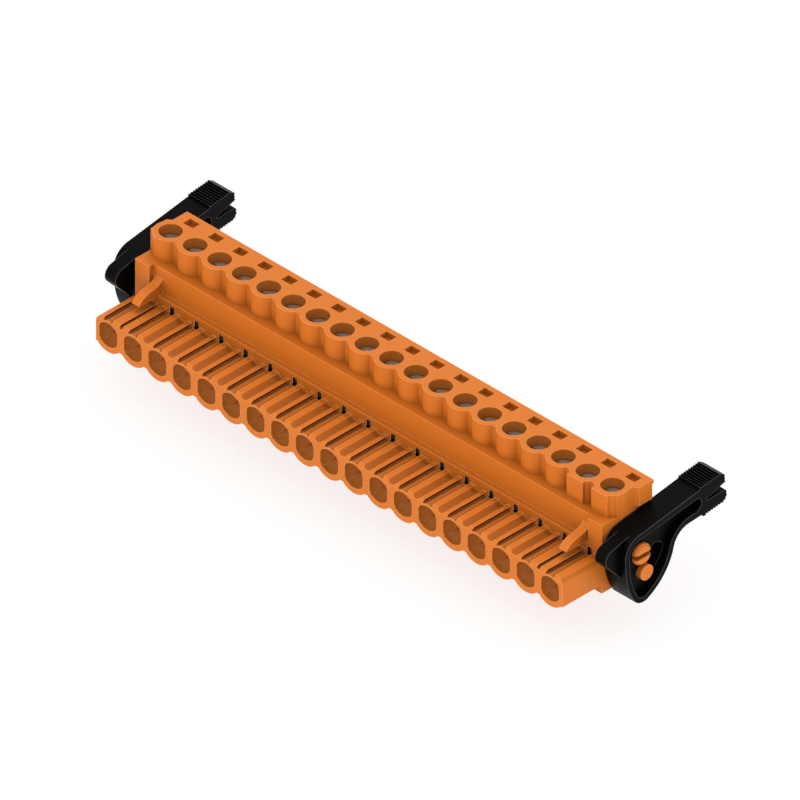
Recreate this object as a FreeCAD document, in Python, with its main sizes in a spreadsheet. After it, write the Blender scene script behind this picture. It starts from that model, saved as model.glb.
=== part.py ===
import FreeCAD, Part
import math
import os
import Sketcher

# Pluggable terminal block, female plug with screw clamps and release levers.
# Frame: +X runs along the row of poles, -Y is the mating side, +Y the wire
# side, +Z the screw side. The origin lies on the underside of the housing,
# below the screw axis of the middle pole. All sizes are in millimetres.

SIZES = {
    # the row of poles
    "poles": 19, "pitch": 5.08, "half_length": 48.26,
    # housing section, front to back and bottom to top
    "mate_front": -12.92, "block_front": -4.78, "wall_front": -3.88,
    "upper_front": -1.6, "back_low": 5.4, "back_neck": 4.9, "back_top": 5.2,
    "neck_low": 9.35, "lip_low": 15.2, "top": 15.85, "ledge": 12.05,
    "wall_foot": 7.7, "mate_top": 6.35, "mate_low": 1.55, "block_end": 45.4,
    # scalloped underside and sockets of the mating part
    "scallop_radius": 3.05, "scallop_edge": 1.96, "socket_level": 3.65,
    "mouth_radius": 2.08, "mouth_half": 1.87, "mouth_flat": 0.91,
    "mouth_depth": 2.5, "socket_half": 1.6, "front_slope": 0.4,
    "mate_corner": 1.3,
    # grooves on top of the mating part
    "slot_left": 1.0, "slot_right": 0.75, "slot_left_floor": 5.82,
    "slot_right_floor": 5.88, "sleeve_radius": 2.35,
    "flute_radius": 0.95, "flute_rise": 0.5, "key_width": 0.65, "key_floor": 5.9,
    "window_half": 0.45, "window_low": 4.9, "window_top": 7.1,
    "window_front": -5.25, "window_back": -3.7,
    # towers, pads and blind recesses of the screw side
    "tower_radius": 2.7, "pad_half": 1.6, "pad_front": -2.75,
    "recess_left": 0.2, "recess_right": 1.85, "recess_front": 2.7,
    "recess_back": 4.3, "recess_floor": 14.9,
    # stacking step at the rear ends of the screw side
    "step_front": 1.6, "step_back": 2.25, "step_out": 0.79, "step_in": 0.76,
    "step_low": 12.6,
    # screw wells and clamp chambers
    "well_radius": 1.85, "well_floor": 12.85, "neck_radius": 1.48,
    "chamber_half": 2.15, "chamber_deep": 1.95, "chamber_floor": 2.2,
    "chamber_top": 11.65, "funnel_half": 1.95, "funnel_low": 2.6,
    "funnel_top": 6.1,
    # clamp screw
    "head_radius": 1.68, "head_top": 14.1, "head_height": 1.2,
    "screw_radius": 1.4, "screw_tip": 7.35, "drive_width": 0.6,
    "drive_depth": 0.6,
    # clamping yoke, in its lowest place
    "yoke_half": 2.05, "yoke_deep": 1.8, "yoke_low": 2.3, "yoke_top": 8.55,
    "yoke_floor": 3.2, "yoke_ceiling": 7.35, "yoke_inner": 1.5,
    "running_gap": 0.05,
    # contact: clamping bar, post and the two fingers of the fork
    "bar_half": 1.1, "bar_low": 6.4, "bar_top": 7.2, "bar_back": 2.6,
    "post_front": -4.6, "post_back": -3.8, "fork_reach": 1.45,
    "finger_front": -9.6, "finger_bend": -8.9, "finger_thick": 0.35,
    "finger_pinch": 0.85, "finger_flare": 1.15, "slide_gap": 0.1,
    # latch hooks
    "hook_inner": 43.45, "hook_outer": 44.95,
    # pivot pins and guide pegs for the levers
    "pivot_deep": -0.55, "pivot_level": 7.0, "pin_radius": 1.5,
    "boss_radius": 2.3, "boss_end": 49.5, "pin_shoulder": 51.95,
    "pin_head": 1.76, "pin_head_end": 52.4, "pin_nose": 1.35, "pin_end": 52.85,
    "pin_split": 0.9, "peg_radius": 1.28, "peg_swing": 3.6, "peg_angle": -78.0,
    "peg_end": 52.65,
    # levers
    "lever_in": 48.48, "web_in": 49.6, "web_out": 51.85, "lever_out": 52.97,
    "lever_bore": 1.55, "guide_half": 1.35, "guide_cap": 1.36,
    "guide_near": -82.0, "guide_far": -16.0, "corner_radius": 3.3,
    "crook_radius": 3.38,
    "flank_radius": 9.8, "toe_radius": 2.27, "breast_radius": 12.4,
    "rim_corner": 2.45, "rim_crook": 4.83, "rim_flank": 9.0, "rim_toe": 1.42,
    "rim_breast": 11.5, "rim_end": 1.05, "nose_radius": 1.62,
    "prong_round": 1.26, "prong_start": 49.4, "prong_stop": -96.8,
    "gap_root": 0.26, "end_step": 31.2, "end_teeth": 4, "tooth_pitch": 0.5,
    "tooth_depth": 0.22, "upper_teeth": 8, "lower_teeth": 6,
    "tip_pitch": 0.57, "tip_teeth": 2,
}

# Corners of the lever and hook outlines, as distance back and level.
POINTS = {
    "brow": (-4.57, 8.25), "crown": (-1.78, 11.16), "arm_top": (11.6, 13.18),
    "arm_low": (11.6, 8.5), "crook_start": (8.4, 8.28), "crook_end": (5.5, 5.85),
    "flank_start": (5.25, 4.9), "flank_end": (0.45, -0.67),
    "toe_end": (-2.61, -0.22), "breast_end": (-4.47, 6.05),
    "rim_brow": (-3.72, 8.17), "rim_crown": (-1.65, 10.32),
    "rim_arm": (10.3, 11.77), "rim_arm_low": (10.6, 9.8),
    "rim_heel": (10.2, 9.45), "rim_crook_start": (9.0, 9.45),
    "rim_flank_start": (4.6, 5.65), "rim_flank_end": (0.0, 0.05),
    "rim_toe_end": (-1.91, 0.27), "rim_breast_end": (-3.62, 6.05),
    "nose_root": (-2.4, 10.98), "nose_top": (-6.28, 10.07),
    "nose_under": (-7.1, 7.42), "nose_foot": (-4.3, 4.3),
    "nose_back": (-3.0, 6.0),
    "thumb_step": (10.89, 12.9), "thumb_rise": (10.89, 13.53),
    "thumb_top": (14.95, 13.97), "thumb_tip": (16.05, 13.3),
    "thumb_tip_low": (16.14, 12.02), "gap_mouth": (15.23, 11.75),
    "gap_top": (12.45, 11.0), "gap_low": (12.45, 10.52),
    "prong_hub": (15.25, 9.68), "thumb_under": (11.58, 8.01),
    "thumb_back": (11.13, 8.6),
    "hook_root": (-3.6, 10.75), "hook_neck": (-4.2, 9.9),
    "hook_back": (-4.8, 9.55), "hook_mid": (-5.5, 9.35),
    "hook_slope": (-7.0, 9.05), "hook_brow": (-8.0, 8.65),
    "hook_tip": (-8.8, 7.85), "hook_lip": (-8.8, 7.7), "hook_foot": (-3.6, 7.7),
}


# A length with its value and its formula.
class Dim:
    def __init__(self, value, text):
        self.value = float(value)
        self.text = text

    def join(self, other, sign, value):
        return Dim(value, "(%s %s %s)" % (self.text, sign, other.text))

    def __add__(self, other):
        other = dim(other)
        return self.join(other, "+", self.value + other.value)

    def __sub__(self, other):
        other = dim(other)
        return self.join(other, "-", self.value - other.value)

    def __mul__(self, other):
        other = dim(other)
        return self.join(other, "*", self.value * other.value)

    def __neg__(self):
        return Dim(-self.value, "(0 - %s)" % self.text)


def dim(item):
    if isinstance(item, Dim):
        return item
    if isinstance(item, str):
        return Dim(SIZES[item], "Sizes." + item)
    return Dim(item, repr(item))


def point(name):
    y, z = POINTS[name]
    return (Dim(y, "Sizes.%s_y" % name), Dim(z, "Sizes.%s_z" % name))


def fill_sheet(doc):
    sheet = doc.addObject("Spreadsheet::Sheet", "Sizes")
    rows = [(name, value) for name, value in SIZES.items()]
    for name, (y, z) in POINTS.items():
        rows += [(name + "_y", y), (name + "_z", z)]
    for number, (name, value) in enumerate(rows, 1):
        sheet.set("A%d" % number, name)
        sheet.set("B%d" % number, repr(value))
        sheet.setAlias("B%d" % number, name)
    doc.recompute()


def about(centre, radius, angle):
    # the place at a radius and an angle about a centre in the lever plane
    radius, angle = dim(radius), dim(angle)
    turn = math.radians(angle.value)
    y = Dim(radius.value * math.cos(turn),
            "(%s * cos(%s * 1deg))" % (radius.text, angle.text))
    z = Dim(radius.value * math.sin(turn),
            "(%s * sin(%s * 1deg))" % (radius.text, angle.text))
    return (centre[0] + y, centre[1] + z)


def about_pivot(radius, angle):
    return about((dim("pivot_deep"), dim("pivot_level")), radius, angle)


# Features on the origin planes of a body.

def origin_part(body, role):
    return [item for item in body.Origin.OriginFeatures if item.Role == role][0]


PLANES = {"X": ("YZ_Plane", 1), "Y": ("XZ_Plane", -1), "Z": ("XY_Plane", 1)}


def new_sketch(body, name, axis, level):
    role, sign = PLANES[axis]
    sketch = body.newObject("Sketcher::SketchObject", name)
    sketch.AttachmentSupport = [(origin_part(body, role), "")]
    sketch.MapMode = "FlatFace"
    level = dim(level) if sign > 0 else -dim(level)
    sketch.AttachmentOffset = FreeCAD.Placement(
        FreeCAD.Vector(0, 0, level.value), FreeCAD.Rotation())
    sketch.setExpression(".AttachmentOffset.Base.z", level.text)
    return sketch


def bind(sketch, kind, geo, pos, size):
    size = dim(size)
    if pos is None:
        index = sketch.addConstraint(Sketcher.Constraint(kind, geo, size.value))
    else:
        index = sketch.addConstraint(
            Sketcher.Constraint(kind, geo, pos, size.value))
    sketch.setExpression("Constraints[%d]" % index, size.text)


def draw_circle(sketch, x, y, radius):
    x, y, radius = dim(x), dim(y), dim(radius)
    shape = Part.Circle(FreeCAD.Vector(x.value, y.value, 0),
                        FreeCAD.Vector(0, 0, 1), radius.value)
    geo = sketch.addGeometry(shape, False)
    bind(sketch, "Radius", geo, None, radius)
    bind(sketch, "DistanceX", geo, 3, x)
    bind(sketch, "DistanceY", geo, 3, y)


def arc_between(start, end, radius, turn):
    # turn is 1 where the centre lies to the left of the way from start to end
    chord = end - start
    half = chord.Length / 2.0
    side = FreeCAD.Vector(-chord.y, chord.x, 0).normalize() * turn
    centre = start + chord * 0.5 + side * math.sqrt(radius ** 2 - half ** 2)
    first, last = (start, end) if turn > 0 else (end, start)
    low = math.atan2(first.y - centre.y, first.x - centre.x)
    high = math.atan2(last.y - centre.y, last.x - centre.x)
    if high < low:
        high += 2 * math.pi
    circle = Part.Circle(centre, FreeCAD.Vector(0, 0, 1), radius)
    return Part.ArcOfCircle(circle, low, high)


def draw_outline(sketch, corners):
    # a corner is (x, y), or (x, y, radius, turn) where an arc leaves it
    places = [(dim(corner[0]), dim(corner[1])) for corner in corners]
    spots = [FreeCAD.Vector(x.value, y.value, 0) for x, y in places]
    ends = []
    for number, corner in enumerate(corners):
        start, end = spots[number], spots[(number + 1) % len(spots)]
        if len(corner) == 4:
            radius, turn = dim(corner[2]), corner[3]
            geo = sketch.addGeometry(arc_between(start, end, radius.value, turn),
                                     False)
            bind(sketch, "Radius", geo, None, radius)
            ends.append((geo, 1, 2) if turn > 0 else (geo, 2, 1))
        else:
            geo = sketch.addGeometry(Part.LineSegment(start, end), False)
            ends.append((geo, 1, 2))
    for number, (geo, first, last) in enumerate(ends):
        after, after_first, after_last = ends[(number + 1) % len(ends)]
        sketch.addConstraint(
            Sketcher.Constraint("Coincident", geo, last, after, after_first))
        bind(sketch, "DistanceX", geo, first, places[number][0])
        bind(sketch, "DistanceY", geo, first, places[number][1])


def rectangle(left, right, low, high):
    return [(left, low), (right, low), (right, high), (left, high)]


def extrude(body, kind, name, axis, start, stop, outlines):
    # material added or taken away between two levels along one axis
    start, stop = dim(start), dim(stop)
    level = start if PLANES[axis][1] > 0 else stop
    sketch = new_sketch(body, name + "_sketch", axis, level)
    for outline in outlines:
        if isinstance(outline, tuple):
            draw_circle(sketch, *outline)
        else:
            draw_outline(sketch, outline)
    feature = body.newObject("PartDesign::" + kind, name)
    feature.Profile = sketch
    feature.Length = stop.value - start.value
    feature.setExpression("Length", (stop - start).text)
    if kind == "Pocket":
        feature.Reversed = True
    return feature


def pad(body, name, axis, start, stop, *outlines):
    return extrude(body, "Pad", name, axis, start, stop, outlines)


def cut(body, name, axis, start, stop, *outlines):
    return extrude(body, "Pocket", name, axis, start, stop, outlines)


def repeat(body, name, originals, direction, spacing, count):
    pattern = body.newObject("PartDesign::LinearPattern", name)
    pattern.Originals = originals
    pattern.Direction = direction
    length = dim(spacing) * (dim(count) - 1)
    pattern.Length = length.value
    pattern.setExpression("Length", length.text)
    pattern.Occurrences = int(dim(count).value)
    pattern.setExpression("Occurrences", dim(count).text)
    body.Tip = pattern
    return pattern


def turned(body, kind, name, axis, level, corners):
    # a full turn about the last side of the profile
    sketch = new_sketch(body, name + "_sketch", axis, level)
    draw_outline(sketch, corners)
    feature = body.newObject("PartDesign::" + kind, name)
    feature.Profile = sketch
    feature.ReferenceAxis = (sketch, ["Edge%d" % len(corners)])
    feature.Angle = 360.0
    return feature


def first_pole():
    return -dim("pitch") * (dim("poles") - 1) * 0.5


# Housing

def housing_core(body):
    pad(body, "core", "X", -dim("half_length"), "half_length", [
        ("block_front", 0), ("back_low", 0), ("back_low", "neck_low"),
        ("back_neck", "lip_low"), ("back_top", "lip_low"), ("back_top", "top"),
        ("upper_front", "top"), ("upper_front", "ledge"),
        ("wall_front", "ledge"), ("wall_front", "wall_foot"),
        ("block_front", "wall_foot")])
    pad(body, "end_blocks", "Z", "mate_top", "ledge",
        rectangle("block_end", "half_length", "block_front", "upper_front"),
        rectangle(-dim("half_length"), -dim("block_end"), "block_front",
                  "upper_front"))
    slope = dim("mate_front") + "front_slope"
    pad(body, "mating_part", "X", -dim("half_length"), "half_length", [
        ("mate_front", "mate_low"), ("wall_front", "mate_low"),
        ("wall_front", "mate_top"), (slope, "mate_top"),
        ("mate_front", dim("mate_top") - "front_slope")])
    # its two outer corners are rounded
    side, top, radius = dim("half_length"), dim("mate_top"), dim("mate_corner")
    for name, way in (("corner_right", 1), ("corner_left", -1)):
        cut(body, name, "Y", dim("mate_front") - 0.5, "block_front", [
            (side * way, top - radius, radius, way),
            ((side - radius) * way, top), ((side - radius) * way, top + 0.5),
            ((side + 0.5) * way, top + 0.5),
            ((side + 0.5) * way, top - radius)])


def housing_steps(body):
    side = dim("half_length")
    out = side + "step_out"
    for name, low, high, back in (("step_flank", "step_low", "lip_low", "back_neck"),
                                  ("step_lip", "lip_low", "top", "back_top")):
        pad(body, name, "Z", low, high, [
            ("block_end", "step_front"), (side, "step_front"),
            (out, "step_back"), (out, back), ("block_end", back)])
    shoulder = side - "step_in"
    beyond = side + 1.0
    cut(body, "step_left", "Z", "step_low", dim("top") + 1.0, [
        (-side, "step_front"), (-shoulder, "step_back"),
        (-shoulder, dim("back_low") + 1.0), (-beyond, dim("back_low") + 1.0),
        (-beyond, "step_front")])


def housing_rows(body):
    pole = first_pole()
    half = dim("pitch") * 0.5
    scallop = pad(body, "scallop", "Y", "mate_front", "wall_front", [
        (pole - half, "scallop_edge", "scallop_radius", 1),
        (pole + half, "scallop_edge"), (pole + half, "mate_low"),
        (pole + half, "socket_level"), (pole - half, "socket_level")])
    tower = pad(body, "tower", "Z", dim("ledge") - 0.5, "top",
                (pole, 0, "tower_radius"))
    x_axis = (origin_part(body, "X_Axis"), [""])
    repeat(body, "outer_row", [scallop, tower], x_axis, "pitch", "poles")


def housing_pads(body):
    last = -first_pole()
    before = last - "pitch"
    pad(body, "pads", "Z", dim("ledge") - 0.5, "top",
        rectangle(before - "pad_half", before + "pad_half", "pad_front", 0),
        rectangle(last - "pad_half", last + "pad_half", "pad_front", 0))


def housing_hooks(body):
    names = ("hook_root", "hook_neck", "hook_back", "hook_mid", "hook_slope",
             "hook_brow", "hook_tip", "hook_lip", "hook_foot")
    outline = [point(name) for name in names]
    pad(body, "hook_right", "X", "hook_inner", "hook_outer", outline)
    pad(body, "hook_left", "X", -dim("hook_outer"), -dim("hook_inner"), outline)


def housing_pins(body):
    depth, level = dim("pivot_deep"), dim("pivot_level")
    peg_y, peg_z = about_pivot("peg_swing", "peg_angle")
    root = dim("block_end")
    for name, side in (("right", 1), ("left", -1)):
        def reach(size):
            return dim(size) if side > 0 else -dim(size)

        profile = [
            (root, 0), (root, "boss_radius"), ("boss_end", "boss_radius"),
            ("boss_end", "pin_radius"), ("pin_shoulder", "pin_radius"),
            ("pin_shoulder", "pin_head"), ("pin_head_end", "pin_head"),
            ("pin_end", "pin_nose"), ("pin_end", 0)]
        turned(body, "Revolution", "pin_" + name, "Z", level,
               [(reach(x), depth + radius) for x, radius in profile])
        span = sorted([reach(root), reach("peg_end")], key=lambda item: item.value)
        pad(body, "peg_" + name, "X", span[0], span[1],
            (peg_y, peg_z, "peg_radius"))
        span = sorted([reach(dim("boss_end") + 0.2), reach(dim("pin_end") + 0.5)],
                      key=lambda item: item.value)
        half = dim("pin_split") * 0.5
        cut(body, "split_" + name, "X", span[0], span[1],
            rectangle(depth - "pin_head" - 0.3, depth + "pin_head" + 0.3,
                      level - half, level + half))


def housing_openings(body):
    pole = first_pole()
    beyond = dim("mate_front") - 0.5
    over = dim("top") + 0.5
    slot_left, slot_right = pole - "slot_left", pole + "slot_right"
    bar = dim("bar_half") + "slide_gap"
    gap = dim("slide_gap")
    deep = dim("chamber_deep")
    level = dim("socket_level")
    bottom = dim("chamber_top") - 0.3
    cuts = [
        turned(body, "Groove", "well", "Y", 0, [
            (pole, bottom), (pole + "neck_radius", bottom),
            (pole + "neck_radius", "well_floor"),
            (pole + "well_radius", "well_floor"), (pole + "well_radius", over),
            (pole, over)]),
        cut(body, "chamber", "Z", "chamber_floor", "chamber_top",
            rectangle(pole - "chamber_half", pole + "chamber_half", -deep, deep)),
        cut(body, "funnel", "Y", deep - 0.3, dim("back_low") + 0.5,
            rectangle(pole - "funnel_half", pole + "funnel_half", "funnel_low",
                      "funnel_top")),
        cut(body, "contact_slot", "X", pole - bar, pole + bar, [
            (dim("post_front") - gap, level - "fork_reach" - gap),
            (dim("post_back") + gap, level - "fork_reach" - gap),
            (dim("post_back") + gap, "bar_low"),
            (dim("bar_back") + gap, "bar_low"),
            (dim("bar_back") + gap, dim("bar_top") + gap),
            (dim("post_front") - gap, dim("bar_top") + gap)]),
        cut(body, "mouth", "Y", beyond, dim("mate_front") + "mouth_depth", [
            (pole - "mouth_half", level - "mouth_flat", "mouth_radius", 1),
            (pole + "mouth_half", level - "mouth_flat"),
            (pole + "mouth_half", level + "mouth_flat", "mouth_radius", 1),
            (pole - "mouth_half", level + "mouth_flat")]),
        cut(body, "socket", "Y", beyond, "post_front",
            rectangle(pole - "socket_half", pole + "socket_half",
                      level - "socket_half", level + "socket_half")),
        cut(body, "slot", "Y", beyond, "block_front", [
            (slot_left, dim("mate_top") + 0.5),
            (slot_left, "slot_left_floor", "sleeve_radius", -1),
            (slot_right, "slot_right_floor"),
            (slot_right, dim("mate_top") + 0.5)]),
        cut(body, "window", "Y", "window_front", "window_back",
            rectangle(pole - "window_half", pole + "window_half", "window_low",
                      "window_top")),
        cut(body, "recess", "Z", "recess_floor", over,
            rectangle(pole - "recess_left", pole + "recess_right",
                      "recess_front", "recess_back")),
    ]
    x_axis = (origin_part(body, "X_Axis"), [""])
    repeat(body, "inner_row", cuts, x_axis, "pitch", "poles")


def housing_flutes(body):
    pole = first_pole()
    beyond = dim("mate_front") - 0.5
    flute = cut(body, "flute", "Y", beyond, "block_front",
                (pole + dim("pitch") * 1.5, dim("mate_top") + "flute_rise",
                 "flute_radius"))
    x_axis = (origin_part(body, "X_Axis"), [""])
    repeat(body, "flute_row", [flute], x_axis, "pitch", dim("poles") - 3)
    edge = -pole - dim("pitch") * 0.5
    half = dim("key_width") * 0.5
    cut(body, "keys", "Y", beyond, "block_front",
        rectangle(edge - half, edge + half, "key_floor", dim("mate_top") + 0.5),
        rectangle(-edge - half, -edge + half, "key_floor",
                  dim("mate_top") + 0.5))


def make_housing(doc):
    body = doc.addObject("PartDesign::Body", "housing")
    housing_core(body)
    housing_steps(body)
    housing_rows(body)
    housing_pads(body)
    housing_hooks(body)
    housing_pins(body)
    housing_openings(body)
    housing_flutes(body)
    return body


# Release levers

def corner(name, *arc):
    return point(name) + arc


def lever_outline():
    return [corner("brow", "corner_radius", -1), corner("crown"),
            corner("arm_top"), corner("arm_low"),
            corner("crook_start", "crook_radius", 1), corner("crook_end"),
            corner("flank_start", "flank_radius", -1),
            corner("flank_end", "toe_radius", -1),
            corner("toe_end", "breast_radius", -1), corner("breast_end")]


def rim_outline():
    return [corner("rim_brow", "rim_corner", -1), corner("rim_crown"),
            corner("rim_arm", "rim_end", -1), corner("rim_arm_low"),
            corner("rim_heel"), corner("rim_crook_start", "rim_crook", 1),
            corner("rim_flank_start", "rim_flank", -1),
            corner("rim_flank_end", "rim_toe", -1),
            corner("rim_toe_end", "rim_breast", -1), corner("rim_breast_end")]


def nose_outline():
    return [corner("nose_root"), corner("nose_top", "nose_radius", 1),
            corner("nose_under"), corner("nose_foot"), corner("nose_back")]


def thumb_outline():
    return [corner("thumb_step"), corner("thumb_rise"), corner("thumb_top"),
            corner("thumb_tip"), corner("thumb_tip_low"),
            corner("gap_mouth"), corner("gap_top", "gap_root", 1),
            corner("gap_low"),
            about(point("prong_hub"), "prong_round", "prong_start")
            + ("prong_round", -1), heel(), corner("thumb_under"),
            corner("thumb_back")]


def heel():
    # where the round end of the lower prong meets its flat underside
    return about(point("prong_hub"), "prong_round", "prong_stop")


def guide_outline():
    # the curved slot that the guide peg runs in
    outer = dim("peg_swing") + "guide_half"
    inner = dim("peg_swing") - "guide_half"
    return [about_pivot(outer, "guide_near") + (outer, 1),
            about_pivot(outer, "guide_far") + ("guide_cap", 1),
            about_pivot(inner, "guide_far") + (inner, -1),
            about_pivot(inner, "guide_near") + ("guide_cap", 1)]


def lever_teeth(body, name, spans, ends, step, inward, pitch, count):
    # saw teeth across the thumb end, in a row from one point to another;
    # each slopes inward along the row and ends in a steep flank
    y, z = ends[0]
    feature = cut(body, name, "X", spans[0], spans[1], [
        (y, z), (y + step[0] + inward[0], z + step[1] + inward[1]),
        (y + step[0] - inward[0], z + step[1] - inward[1]),
        (y - inward[0], z - inward[1])])
    sketch = feature.Profile[0]
    spots = [FreeCAD.Vector(y.value, z.value, 0) for y, z in ends]
    line = sketch.addGeometry(Part.LineSegment(spots[0], spots[1]), True)
    for pos, (y, z) in enumerate(ends, 1):
        bind(sketch, "DistanceX", line, pos, y)
        bind(sketch, "DistanceY", line, pos, z)
    repeat(body, name + "_row", [feature], (sketch, ["Axis0"]), pitch, count)


def prong_teeth(body, name, spans):
    # the same teeth on round the end of the lower prong
    y, z = point("prong_hub")
    far = dim("prong_round") * 1.4
    feature = cut(body, name, "X", spans[0], spans[1], [
        about((dim(0), dim(0)), radius, dim("prong_stop") + dim("end_step") * share)
        for radius, share in ((dim("prong_round") - "tooth_depth", -0.02),
                              (far, -0.02), (far, 1.0), ("prong_round", 1.0))])
    sketch = feature.Profile[0]
    sketch.AttachmentOffset.Base.x = y.value
    sketch.AttachmentOffset.Base.y = z.value
    sketch.setExpression(".AttachmentOffset.Base.x", y.text)
    sketch.setExpression(".AttachmentOffset.Base.y", z.text)
    pattern = body.newObject("PartDesign::PolarPattern", name + "_row")
    pattern.Originals = [feature]
    pattern.Axis = (sketch, ["N_Axis"])
    span = dim("end_step") * (dim("end_teeth") - 1)
    pattern.Angle = span.value
    pattern.setExpression("Angle", span.text)
    pattern.Occurrences = int(dim("end_teeth").value)
    pattern.setExpression("Occurrences", dim("end_teeth").text)
    body.Tip = pattern


def make_lever(doc, name, side):
    body = doc.addObject("PartDesign::Body", name)

    def spans(low, high):
        ends = [dim(low) * side, dim(high) * side]
        return sorted(ends, key=lambda item: item.value)

    pad(body, name + "_body", "X", *spans("lever_in", "lever_out"),
        lever_outline())
    pad(body, name + "_thumb", "X", *spans("lever_in", "lever_out"),
        thumb_outline())
    cut(body, name + "_outer", "X",
        *spans("web_out", dim("lever_out") + 0.5), rim_outline())
    cut(body, name + "_inner", "X",
        *spans(dim("lever_in") - 0.5, "web_in"), rim_outline())
    pad(body, name + "_nose", "X", *spans("web_in", "web_out"), nose_outline())
    beyond = spans(dim("lever_in") - 0.5, dim("lever_out") + 0.5)
    cut(body, name + "_bore", "X", *beyond,
        ("pivot_deep", "pivot_level", "lever_bore"))
    cut(body, name + "_guide", "X", *beyond, guide_outline())
    pitch, depth, none = dim("tooth_pitch"), dim("tooth_depth"), dim(0)
    lever_teeth(body, name + "_upper", beyond,
                (point("thumb_rise"), point("thumb_top")), (pitch, none),
                (none, depth * -1), "tooth_pitch", "upper_teeth")
    lever_teeth(body, name + "_tip", beyond,
                (point("thumb_tip"), point("thumb_tip_low")),
                (none, dim("tip_pitch") * -1), (depth * -0.8, none),
                "tip_pitch", "tip_teeth")
    lever_teeth(body, name + "_lower", beyond,
                (heel(), point("thumb_under")), (pitch * -1, none),
                (none, depth), "tooth_pitch", "lower_teeth")
    prong_teeth(body, name + "_end", beyond)
    return body


# Inner pieces, one of each for every pole

def place_at_pole(body, number):
    spot = first_pole() + dim("pitch") * number
    body.Placement.Base.x = spot.value
    body.setExpression(".Placement.Base.x", spot.text)
    return body


def make_contact(doc, number):
    body = doc.addObject("PartDesign::Body", "contact_%02d" % (number + 1))
    level, thick = dim("socket_level"), dim("finger_thick")
    root, pinch, flare = dim("fork_reach"), dim("finger_pinch"), dim("finger_flare")
    pad(body, body.Name + "_strip", "X", -dim("bar_half"), "bar_half", [
        ("post_back", level - root), ("post_back", "bar_low"),
        ("bar_back", "bar_low"), ("bar_back", "bar_top"), ("post_front", "bar_top"),
        ("post_front", level + root), ("finger_bend", level + pinch + thick),
        ("finger_front", level + flare + thick), ("finger_front", level + flare),
        ("finger_bend", level + pinch), ("post_front", level + root - thick),
        ("post_front", level - root + thick), ("finger_bend", level - pinch),
        ("finger_front", level - flare), ("finger_front", level - flare - thick),
        ("finger_bend", level - pinch - thick), ("post_front", level - root)])
    return place_at_pole(body, number)


def make_yoke(doc, number):
    body = doc.addObject("PartDesign::Body", "yoke_%02d" % (number + 1))
    half, inner = dim("yoke_half"), dim("yoke_inner")
    pad(body, body.Name + "_ring", "Y", -dim("yoke_deep"), "yoke_deep",
        rectangle(-half, half, "yoke_low", "yoke_top"),
        rectangle(-inner, inner, "yoke_floor", "yoke_ceiling"))
    cut(body, body.Name + "_bore", "Z", dim("yoke_ceiling") - 0.3,
        dim("yoke_top") + 0.3, (0, 0, dim("screw_radius") + "running_gap"))
    return place_at_pole(body, number)


def make_screw(doc, number):
    body = doc.addObject("PartDesign::Body", "screw_%02d" % (number + 1))
    under = dim("head_top") - "head_height"
    turned(body, "Revolution", body.Name + "_turning", "Y", 0, [
        (0, "screw_tip"), ("screw_radius", "screw_tip"), ("screw_radius", under),
        ("head_radius", under), ("head_radius", "head_top"), (0, "head_top")])
    half = dim("drive_width") * 0.5
    arm = dim("head_radius") + 0.3
    cut(body, body.Name + "_slot", "Z", dim("head_top") - "drive_depth",
        dim("head_top") + 0.3, rectangle(-arm, arm, -half, half))
    return place_at_pole(body, number)


def check(doc, parts):
    for item in doc.Objects:
        if "Invalid" in item.State or "Error" in item.State:
            raise RuntimeError("failed feature: %s" % item.Name)
    for part in parts:
        if part.Shape.isNull() or not part.Shape.isValid():
            raise RuntimeError("bad shape: %s" % part.Label)
        if len(part.Shape.Solids) != 1:
            raise RuntimeError("not one solid: %s" % part.Label)


def main():
    doc = FreeCAD.newDocument("terminal_plug")
    fill_sheet(doc)
    parts = [make_housing(doc), make_lever(doc, "lever_right", 1),
             make_lever(doc, "lever_left", -1)]
    for number in range(SIZES["poles"]):
        parts += [make_contact(doc, number), make_yoke(doc, number),
                  make_screw(doc, number)]
    doc.recompute()
    check(doc, parts)
    os.makedirs("parts", exist_ok=True)
    for part in parts:
        part.Shape.exportStep("parts/%s.step" % part.Label)
        box = part.Shape.BoundBox
        print("%s volume %.1f box %.2f %.2f %.2f to %.2f %.2f %.2f" % (
            part.Label, part.Shape.Volume, box.XMin, box.YMin, box.ZMin,
            box.XMax, box.YMax, box.ZMax))


main()
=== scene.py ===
import math

import bpy
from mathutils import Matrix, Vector

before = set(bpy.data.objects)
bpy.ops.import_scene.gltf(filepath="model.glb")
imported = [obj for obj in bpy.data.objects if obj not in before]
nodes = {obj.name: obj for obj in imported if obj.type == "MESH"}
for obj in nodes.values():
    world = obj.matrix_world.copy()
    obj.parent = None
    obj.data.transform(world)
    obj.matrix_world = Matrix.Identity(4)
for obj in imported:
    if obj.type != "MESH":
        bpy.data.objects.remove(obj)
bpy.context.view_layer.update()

# The housing: one injection moulding in orange glass-filled plastic, satin,
# with softly rounded edges. It carries the screw towers, the sockets, the
# latch hooks, and the pins and pegs that the two levers are clipped on.

# depths and heights on it in metres, where a soft change starts and ends
front_skin = (-0.01285, -0.0126)
mating_half = (-0.005, -0.0055)
socket_roof = (0.0056, 0.0052)
above_slot_floor = (0.0062, 0.006)
below_slot_floor = (0.0052, 0.0056)
tower_foot = (0.0112, 0.0104)
groove_width = 0.0014
edge_radius = 0.00018

# how open a place is, from 0 in a closed corner to 1 on an open face
corner_to_face = (0.4, 0.92)
mouth_to_socket_end = (0.33, 0.17)
crease_to_face = (0.75, 0.95)
groove_steps = (0.55, 0.75, 0.88, 0.985)
# painted shade in the grooves at those steps
groove_shades = ((0.2, 0.13, 0.1), (0.62, 0.6, 0.8), (0.86, 0.88, 0.98),
                 (1, 1, 1))
# painted shade on the slot floors
slot_floor_shade = (0.77, 0.82, 0.96)

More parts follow.
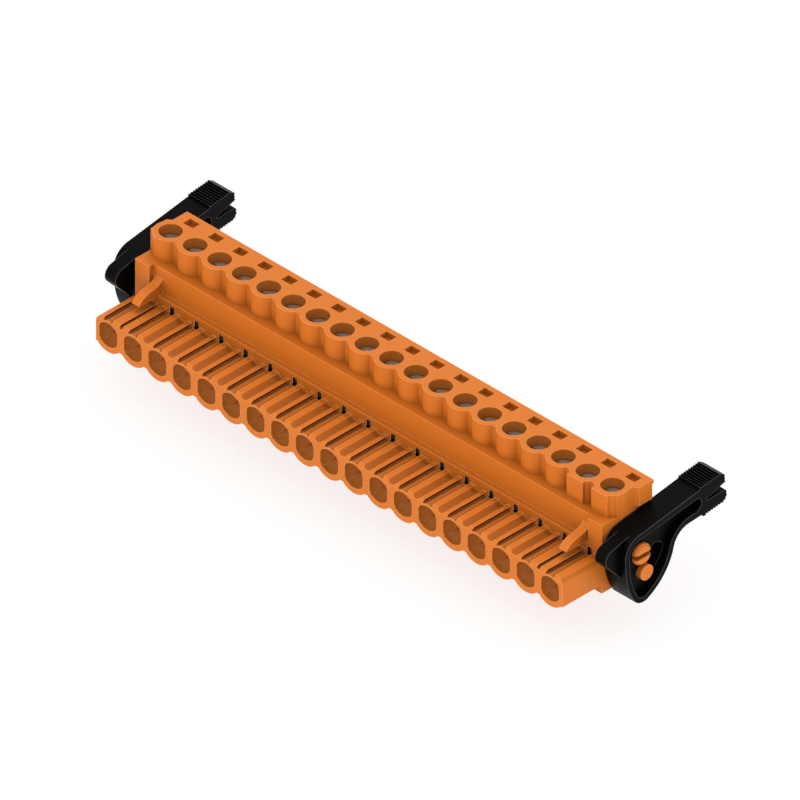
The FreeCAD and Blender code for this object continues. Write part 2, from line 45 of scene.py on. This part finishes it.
# how level a face lies, and how far an edge turns away from its face
steep_to_level = (0.3, 0.6)
face_to_edge = (1.0, 0.84)

cloud_scale = 180
cloud_tint = 0.96
grain_gloss = 0.06
grain_strength = 0.12
grain_height = 0.00003


def node_of(tree, kind, inputs, **settings):
    # an input takes a plain value, or the output of another node
    node = tree.nodes.new(kind)
    for name, setting in settings.items():
        setattr(node, name, setting)
    for name, value in inputs.items():
        if isinstance(value, bpy.types.NodeSocket):
            tree.links.new(value, node.inputs[name])
        else:
            node.inputs[name].default_value = value
    return node


def opaque(colour, share=1.0):
    return tuple(part * share for part in colour) + (1,)


def cloudy(tree, place, scale, detail):
    noise = node_of(tree, "ShaderNodeTexNoise",
                    {"Vector": place, "Scale": scale, "Detail": detail})
    return noise.outputs["Fac"]


def faded(tree, value, start, end, low=0.0, high=1.0):
    # low up to the start, high from the end on, and a straight fade between
    fade = node_of(tree, "ShaderNodeMapRange", {
        "Value": value, "From Min": start, "From Max": end,
        "To Min": low, "To Max": high})
    return fade.outputs["Result"]


def maths(tree, operation, *values, clamp=False):
    node = node_of(tree, "ShaderNodeMath", dict(enumerate(values)),
                   operation=operation, use_clamp=clamp)
    return node.outputs["Value"]


def overlap(tree, mask, *others):
    # the places where all of the masks hold
    for other in others:
        mask = maths(tree, "MULTIPLY", mask, other)
    return mask


def blended(tree, share, base, over, way="MIX"):
    mix = node_of(tree, "ShaderNodeMix",
                  {"Factor": share, "A": base, "B": over},
                  data_type="RGBA", blend_type=way)
    return mix.outputs["Result"]


def openness(tree, reach, samples, own_piece=True):
    hollow = node_of(tree, "ShaderNodeAmbientOcclusion", {"Distance": reach},
                     samples=samples, only_local=own_piece)
    return hollow.outputs["AO"]


def new_look(name):
    look = bpy.data.materials.new(name)
    look.use_nodes = True
    tree = look.node_tree
    place = node_of(tree, "ShaderNodeTexCoord", {}).outputs["Object"]
    along = node_of(tree, "ShaderNodeSeparateXYZ", {"Vector": place}).outputs
    return look, tree, tree.nodes["Principled BSDF"], place, along


def moulded_plastic(name, colour, hollow_shade, bore_fill_light, edge_highlight, rough, shine, grain,
                    reach, crease_highlight):
    look, tree, shader, place, along = new_look(name)
    shader.inputs["Specular IOR Level"].default_value = shine

    # slow flow clouds in the colour, and a fine grain in gloss and surface
    cloud = cloudy(tree, place, cloud_scale, detail=3)
    fine = cloudy(tree, place, grain, detail=2)
    shade = blended(tree, cloud, opaque(colour, cloud_tint), opaque(colour))
    gloss = faded(tree, fine, 0, 1, rough - grain_gloss, rough + grain_gloss)
    bump = node_of(tree, "ShaderNodeBump", {
        "Strength": grain_strength, "Distance": grain_height, "Height": fine})

    # painted shade: corners and hollows are darkened towards the hollow shade
    # colour
    wide = openness(tree, reach, samples=8)
    face = faded(tree, wide, *corner_to_face)
    shade = blended(tree, face, opaque(hollow_shade), shade)

    # painted shade in the grooves on the mating half, browner and duller the
    # more closed in they are
    near = openness(tree, groove_width, samples=6)
    groove_shade_ramp = node_of(tree, "ShaderNodeValToRGB", {"Fac": near})
    stops = groove_shade_ramp.color_ramp.elements
    stops[0].position, stops[1].position = groove_steps[0], groove_steps[-1]
    for step in groove_steps[1:-1]:
        stops.new(step)
    for stop, brown in zip(stops, groove_shades):
        stop.color = opaque(brown)
    mating = faded(tree, along["Y"], *mating_half)
    shade = blended(tree, mating, shade, groove_shade_ramp.outputs["Color"], "MULTIPLY")

    # painted shade on the floors of the slots between the ribs, behind the
    # front skin
    normal = node_of(tree, "ShaderNodeNewGeometry", {}).outputs["Normal"]
    lean = node_of(tree, "ShaderNodeSeparateXYZ", {"Vector": normal}).outputs
    slot = overlap(tree,
                   faded(tree, along["Z"], *above_slot_floor),
                   faded(tree, along["Z"], *below_slot_floor),
                   faded(tree, lean["Z"], *steep_to_level),
                   faded(tree, along["Y"], *front_skin))
    shade = blended(tree, slot, shade, opaque(slot_floor_shade), "MULTIPLY")

    # painted light: the sockets are lighter again deep inside, as if light
    # reached in
    socket = overlap(tree, mating, faded(tree, along["Z"], *socket_roof))
    fill_light = overlap(tree, faded(tree, wide, *mouth_to_socket_end), socket)
    shade = blended(tree, fill_light, shade, opaque(bore_fill_light))

    # painted highlight on the edges, and in creases only below the tower feet
    rounded = node_of(tree, "ShaderNodeBevel", {"Radius": edge_radius},
                      samples=6)
    turn = node_of(tree, "ShaderNodeVectorMath",
                   {0: rounded.outputs["Normal"], 1: normal},
                   operation="DOT_PRODUCT")
    rim = faded(tree, turn.outputs["Value"], *face_to_edge)
    foot = faded(tree, along["Z"], *tower_foot, high=crease_highlight)
    lit_edge = faded(tree, near, *crease_to_face, low=foot)
    shade = blended(tree, overlap(tree, rim, lit_edge), shade, opaque(edge_highlight))

    tree.links.new(shade, shader.inputs["Base Color"])
    tree.links.new(gloss, shader.inputs["Roughness"])
    tree.links.new(bump.outputs["Normal"], shader.inputs["Normal"])
    return look


def paint(piece, look):
    piece.data.materials.clear()
    piece.data.materials.append(look)


orange = moulded_plastic(
    "orange plastic", colour=(0.82, 0.217, 0.024), hollow_shade=(0.46, 0.14, 0.015),
    bore_fill_light=(0.95, 0.42, 0.12), edge_highlight=(0.98, 0.4, 0.12), rough=0.36, shine=0.16,
    grain=2600, reach=0.008, crease_highlight=1.0)
paint(nodes["housing"], orange)

# The contacts: tin-plated copper alloy, one fixed in the housing at each
# pole. A strip runs from the clamp bar under the screw to a fork of two
# spring fingers in the socket; where it shows through the wall's window it
# is painted black with shade.
pole_count = 19
poles = range(1, pole_count + 1)
window_middle = -0.0052
window_to_beside = (0.0019, 0.0025)
# painted shade on the metal behind the windows, and how far it lifts beside
# them
window_shade = (0.003, 0.002, 0.002)
light_beside = 0.6
chamber_to_face = (0.3, 0.8)
metal_share = 0.9
streak_tint = 0.8
streak_gloss = 0.08


def plated_metal(name, colour, rough, streaks, reach):
    look, tree, shader, place, along = new_look(name)
    shader.inputs["Metallic"].default_value = metal_share
    streak = cloudy(tree, place, streaks, detail=4)
    shade = blended(tree, streak, opaque(colour, streak_tint), opaque(colour))
    gloss = faded(tree, streak, 0, 1, rough - streak_gloss,
                  rough + streak_gloss)

    # painted shade: black where it is closed in, and less so beside the
    # windows
    face = faded(tree, openness(tree, reach, samples=8, own_piece=False),
                 *chamber_to_face)
    beside = maths(tree, "ADD", along["Y"], -window_middle)
    beside = faded(tree, maths(tree, "ABSOLUTE", beside), *window_to_beside,
                   high=light_beside)
    unshaded = maths(tree, "MAXIMUM", face, beside)
    shade = blended(tree, unshaded, opaque(window_shade), shade)

    tree.links.new(shade, shader.inputs["Base Color"])
    tree.links.new(gloss, shader.inputs["Roughness"])
    return look


tin = plated_metal("tin-plated contact", colour=(0.5, 0.49, 0.46), rough=0.38,
                   streaks=900, reach=0.008)
for pole in poles:
    paint(nodes["contact_%02d" % pole], tin)

# The yokes: zinc-plated steel, folded into a frame round each clamp bar.
# The screw lifts its yoke, which presses the wire against the bar.
steel = plated_metal("zinc-plated yoke", colour=(0.45, 0.47, 0.52), rough=0.4,
                     streaks=1200, reach=0.008)
for pole in poles:
    paint(nodes["yoke_%02d" % pole], steel)

# The clamp screws: zinc-plated steel with slotted heads, one sunk in the
# well of each tower and held there by the narrow neck below its head.
zinc = plated_metal("zinc-plated screw", colour=(0.66, 0.88, 1.0), rough=0.35,
                    streaks=1200, reach=0.0004)
for pole in poles:
    paint(nodes["screw_%02d" % pole], zinc)

# The release levers: moulded in black satin plastic, with a rim round a sunk
# web. Each is clipped on the split pin at its end of the housing, and the peg
# in its curved slot stops its turn.
black = moulded_plastic(
    "black plastic", colour=(0.003, 0.003, 0.0032), hollow_shade=(0.001, 0.001, 0.001),
    bore_fill_light=(0.001, 0.001, 0.001), edge_highlight=(0.12, 0.12, 0.12), rough=0.36,
    shine=0.035, grain=2200, reach=0.004, crease_highlight=0.0)
for name in ("lever_right", "lever_left"):
    paint(nodes[name], black)

# The studio: an even white light from all round, two soft lamps, a pale floor
# just under the reach of the turned-down levers, and a camera without
# perspective, 45 degrees round and 35 degrees up.
scene = bpy.context.scene
scene.view_settings.view_transform = "Standard"
white = (1, 1, 1, 1)


def seen_rays(tree):
    # rays that show the backdrop: straight, mirrored or through glass
    rays = node_of(tree, "ShaderNodeLightPath", {}).outputs
    mirrored = maths(tree, "ADD", rays["Is Camera Ray"], rays["Is Glossy Ray"])
    return maths(tree, "ADD", mirrored, rays["Is Transmission Ray"],
                 clamp=True)


world = bpy.data.worlds.new("studio")
scene.world = world
world.use_nodes = True
sky = world.node_tree
sky.nodes.clear()
daylight = node_of(sky, "ShaderNodeBackground",
                   {"Color": (1.0, 0.99, 0.975, 1), "Strength": 0.9})
backdrop = node_of(sky, "ShaderNodeBackground",
                   {"Color": white, "Strength": 1.0})
both = node_of(sky, "ShaderNodeMixShader", {
    "Fac": seen_rays(sky), 1: daylight.outputs["Background"],
    2: backdrop.outputs["Background"]})
node_of(sky, "ShaderNodeOutputWorld", {"Surface": both.outputs["Shader"]})


def lamp(name, place, size, power):
    # a square soft lamp, turned towards the middle of the row
    data = bpy.data.lights.new(name, "AREA")
    data.shape = "SQUARE"
    data.size = size
    data.energy = power
    item = bpy.data.objects.new(name, data)
    item.location = place
    item.rotation_euler = (-Vector(place)).to_track_quat("-Z", "Y").to_euler()
    scene.collection.objects.link(item)


lamp("key", (0.05, -0.35, 0.45), size=0.5, power=0.35)
lamp("side", (0.5, -0.1, 0.2), size=0.4, power=0.12)

picture_pixels = 800
pixels_per_mm = 6.834
top_foreshortening = 0.5743
rise = math.asin(top_foreshortening)
level_part = math.cos(rise) * math.sqrt(0.5)
towards_camera = Vector((level_part, -level_part, math.sin(rise)))
picture_middle = Vector((0.008477, -0.006729, 0.01585))
camera_distance = 0.5
lens = bpy.data.cameras.new("camera")
lens.type = "ORTHO"
lens.ortho_scale = picture_pixels / pixels_per_mm / 1000
lens.clip_start = 0.01
lens.clip_end = 5
camera = bpy.data.objects.new("camera", lens)
camera.location = picture_middle + towards_camera * camera_distance
camera.rotation_euler = (-towards_camera).to_track_quat("-Z", "Y").to_euler()
scene.collection.objects.link(camera)
scene.camera = camera

floor_size = 6
floor_level = -0.0063
floor_glow = 0.7
bpy.ops.mesh.primitive_plane_add(size=floor_size, location=(0, 0, floor_level))
floor = bpy.context.object
floor.name = "floor"
floor_look = bpy.data.materials.new("floor")
floor_look.use_nodes = True
ground = floor_look.node_tree
paper = ground.nodes["Principled BSDF"]
paper.inputs["Base Color"].default_value = (0.95, 0.95, 0.95, 1)
paper.inputs["Roughness"].default_value = 0.9
paper.inputs["Specular IOR Level"].default_value = 0.1
glow = node_of(ground, "ShaderNodeEmission", {"Color": white, "Strength": 1.1})
share = maths(ground, "MULTIPLY", seen_rays(ground), floor_glow)
blend = node_of(ground, "ShaderNodeMixShader", {
    "Fac": share, 1: paper.outputs["BSDF"], 2: glow.outputs["Emission"]})
ground.links.new(blend.outputs["Shader"],
                 ground.nodes["Material Output"].inputs["Surface"])
floor.data.materials.append(floor_look)
